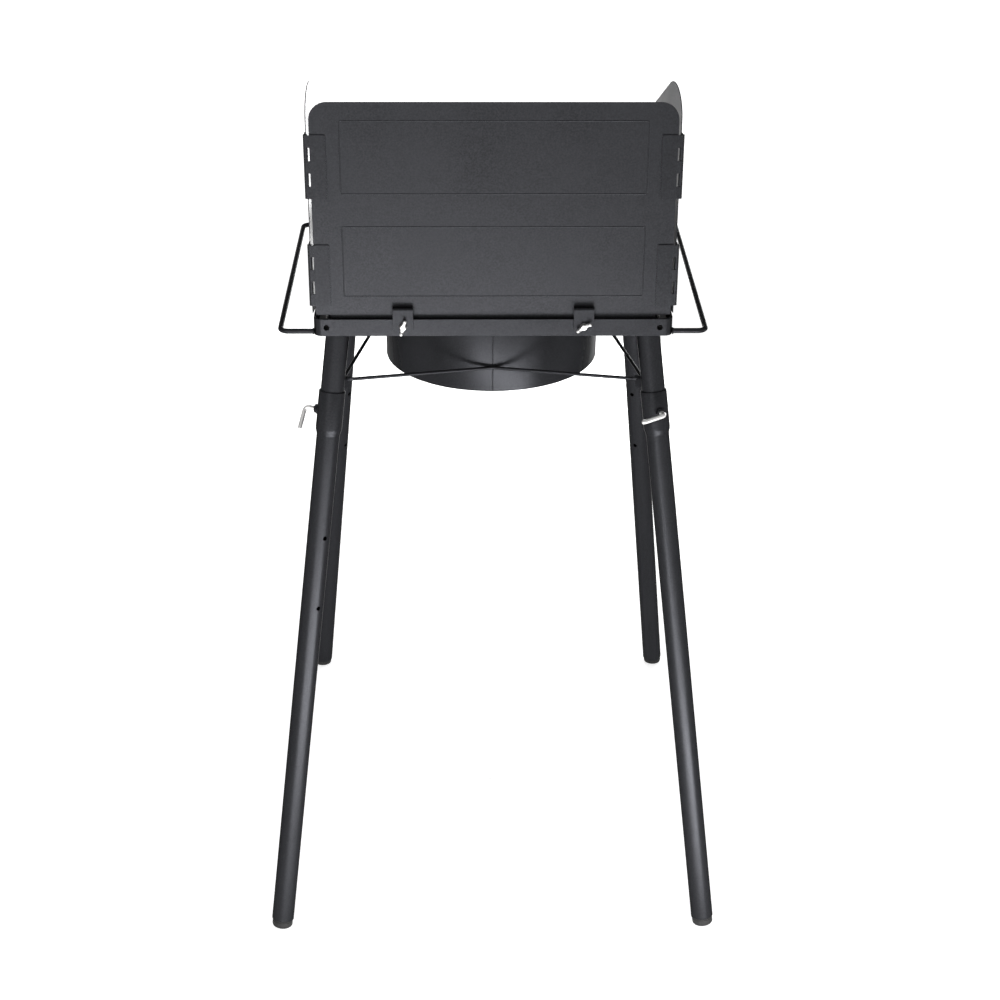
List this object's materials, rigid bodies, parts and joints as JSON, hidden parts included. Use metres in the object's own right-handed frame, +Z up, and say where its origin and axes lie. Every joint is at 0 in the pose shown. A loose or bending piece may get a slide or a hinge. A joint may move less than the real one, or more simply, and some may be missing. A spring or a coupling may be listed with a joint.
{
  "type": "single burner camp stove",
  "caption": "Free-standing gas camp stove: square steel ring on splayed tube legs, round burner drum, wire handles and a hinged three-sided windscreen.",
  "frame": {"origin": "on the ground under the middle of the stove, at the centre of the bounding box's base", "axes": "+Z up, -Y towards the windscreen panel, +Y towards the valve knob, +X to the right seen from the windscreen side"},
  "size_m": [0.5488, 0.6456, 1.0172],
  "materials": {
    "powder_coat": "satin black powder coat with a fine grain",
    "screen_coat": "matt black powder coat on thin sheet",
    "zinc_plate": "bright zinc plating",
    "cast_iron": "rough black casting",
    "brass": "turned brass",
    "steel": "turned steel",
    "foot_rubber": "matt black rubber",
    "knob_plastic": "matt black plastic"
  },
  "bodies": {
    "stand": {"brace_front": "powder_coat", "brace_left": "powder_coat", "brace_rear": "powder_coat", "brace_right": "powder_coat", "burner_body": "cast_iron", "burner_bolt": "zinc_plate", "burner_cap": "cast_iron", "burner_strip": "powder_coat", "drum": "powder_coat", "frame_ring": "powder_coat", "gas_inlet": "brass", "gas_jet": "brass", "handle_left": "powder_coat", "handle_right": "powder_coat", "leg_stub_front_left": "powder_coat", "leg_stub_front_right": "powder_coat", "leg_stub_rear_left": "powder_coat", "leg_stub_rear_right": "powder_coat", "valve_body": "brass", "valve_bracket": "powder_coat", "valve_nut": "zinc_plate"},
    "grate": {"grate": "cast_iron"},
    "windscreen": {"screen_panel": "screen_coat", "hinge_fixed_lower_left": "screen_coat", "hinge_fixed_lower_right": "screen_coat", "hinge_fixed_upper_left": "screen_coat", "hinge_fixed_upper_right": "screen_coat", "screen_clip_left": "powder_coat", "screen_clip_right": "powder_coat"},
    "air_shutter": {"air_shutter": "zinc_plate"},
    "valve_knob": {"valve_knob": "knob_plastic", "valve_stem": "steel"},
    "wing_left": {"screen_wing_left": "screen_coat", "hinge_moving_lower_left": "screen_coat", "hinge_moving_upper_left": "screen_coat"},
    "clip_screw_left": {"clip_screw_left": "zinc_plate"},
    "leg_rear_left": {"leg_tube_rear_left": "powder_coat", "leg_nut_rear_left": "powder_coat", "leg_foot_rear_left": "foot_rubber"},
    "leg_screw_rear_left": {"leg_screw_rear_left": "zinc_plate"},
    "leg_front_left": {"leg_tube_front_left": "powder_coat", "leg_nut_front_left": "powder_coat", "leg_foot_front_left": "foot_rubber"},
    "leg_screw_front_left": {"leg_screw_front_left": "zinc_plate"},
    "wing_right": {"screen_wing_right": "screen_coat", "hinge_moving_lower_right": "screen_coat", "hinge_moving_upper_right": "screen_coat"},
    "clip_screw_right": {"clip_screw_right": "zinc_plate"},
    "leg_rear_right": {"leg_tube_rear_right": "powder_coat", "leg_nut_rear_right": "powder_coat", "leg_foot_rear_right": "foot_rubber"},
    "leg_screw_rear_right": {"leg_screw_rear_right": "zinc_plate"},
    "leg_front_right": {"leg_tube_front_right": "powder_coat", "leg_nut_front_right": "powder_coat", "leg_foot_front_right": "foot_rubber"},
    "leg_screw_front_right": {"leg_screw_front_right": "zinc_plate"}
  },
  "joints": [
    {"name": "grate_lift", "type": "slide", "parent": "stand", "child": "grate", "axis": [0, 0, 1], "range_m": [0, 0.008]},
    {"name": "windscreen_lift", "type": "slide", "parent": "stand", "child": "windscreen", "axis": [0, 0, 1], "range_m": [0, 0.04]},
    {"name": "valve_turn", "type": "hinge", "parent": "stand", "child": "valve_knob", "pos_m": [0, 0.19, 0.692], "axis": [0, 1, 0], "range_deg": [0, 270]},
    {"name": "air_shutter_turn", "type": "hinge", "parent": "stand", "child": "air_shutter", "pos_m": [0, 0.153, 0.692], "axis": [0, 1, 0], "range_deg": [-45, 45]},
    {"name": "wing_left_fold", "type": "hinge", "parent": "windscreen", "child": "wing_left", "pos_m": [-0.2042, -0.1822, 0.7585], "axis": [0, 0, -1], "range_deg": [-93.2, 82.8]},
    {"name": "clip_screw_left_turn", "type": "hinge", "parent": "windscreen", "child": "clip_screw_left", "pos_m": [-0.102, -0.19, 0.7505], "axis": [0, -1, 0], "continuous": true},
    {"name": "wing_right_fold", "type": "hinge", "parent": "windscreen", "child": "wing_right", "pos_m": [0.2042, -0.1822, 0.7585], "axis": [0, 0, 1], "range_deg": [-99, 77]},
    {"name": "clip_screw_right_turn", "type": "hinge", "parent": "windscreen", "child": "clip_screw_right", "pos_m": [0.102, -0.19, 0.7505], "axis": [0, -1, 0], "continuous": true},
    {"name": "leg_rear_left_pull", "type": "slide", "parent": "stand", "child": "leg_rear_left", "axis": [-0.1122, -0.1941, -0.9745], "range_m": [0, 0.05]},
    {"name": "leg_screw_rear_left_turn", "type": "hinge", "parent": "leg_rear_left", "child": "leg_screw_rear_left", "pos_m": [-0.188, -0.18302, 0.6425], "axis": [-0.9468, 0.3184, 0.0456], "continuous": true},
    {"name": "leg_rear_right_pull", "type": "slide", "parent": "stand", "child": "leg_rear_right", "axis": [0.1122, -0.1941, -0.9745], "range_m": [0, 0.05]},
    {"name": "leg_screw_rear_right_turn", "type": "hinge", "parent": "leg_rear_right", "child": "leg_screw_rear_right", "pos_m": [0.188, -0.18302, 0.6425], "axis": [0.2745, -0.9365, 0.2182], "continuous": true},
    {"name": "leg_front_left_pull", "type": "slide", "parent": "stand", "child": "leg_front_left", "axis": [-0.0992, 0.1944, -0.9759], "range_m": [0, 0.05]},
    {"name": "leg_screw_front_left_turn", "type": "hinge", "parent": "leg_front_left", "child": "leg_screw_front_left", "pos_m": [-0.18672, 0.18305, 0.64236], "axis": [-0.9945, 0.0144, 0.1039], "continuous": true},
    {"name": "leg_front_right_pull", "type": "slide", "parent": "stand", "child": "leg_front_right", "axis": [0.0992, 0.1944, -0.9759], "range_m": [0, 0.05]},
    {"name": "leg_screw_front_right_turn", "type": "hinge", "parent": "leg_front_right", "child": "leg_screw_front_right", "pos_m": [0.18672, 0.18305, 0.64236], "axis": [-0.1074, 0.9771, 0.1837], "continuous": true}
  ]
}
